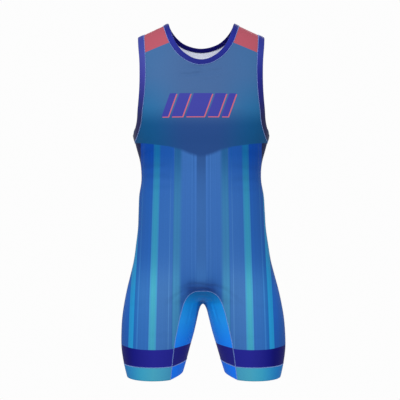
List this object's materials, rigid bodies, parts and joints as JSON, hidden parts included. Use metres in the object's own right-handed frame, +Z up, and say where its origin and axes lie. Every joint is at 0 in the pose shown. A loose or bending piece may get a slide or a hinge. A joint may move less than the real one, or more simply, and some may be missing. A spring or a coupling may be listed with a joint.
{
  "type": "wrestling singlet",
  "caption": "Sleeveless one-piece wrestling singlet in its worn, empty form: scooped neck, deep armholes, mid-thigh legs, striped stretch knit with a dark leg band.",
  "frame": {"origin": "midway between the two shoulder straps, at the mean height of their ridge, in the plane of the shoulder and side seams: where the wearer's shoulders hold the garment up", "axes": "+Z up, along the worn garment; -Y the front of the garment, +Y its back; +X towards the wearer's left"},
  "size_m": [0.4007, 0.2263, 0.8627],
  "materials": {
    "printed_knit": "sublimation-printed polyester and elastane knit, satin",
    "azure_knit": "sublimation-printed polyester and elastane knit, satin",
    "binding_knit": "folded elastic knit tape, soft matt"
  },
  "bodies": {
    "root": {"front_panel": "printed_knit", "back_panel": "printed_knit", "gusset_panel": "azure_knit", "neck_binding": "binding_knit", "armhole_binding_right": "binding_knit", "armhole_binding_left": "binding_knit"}
  },
  "joints": []
}
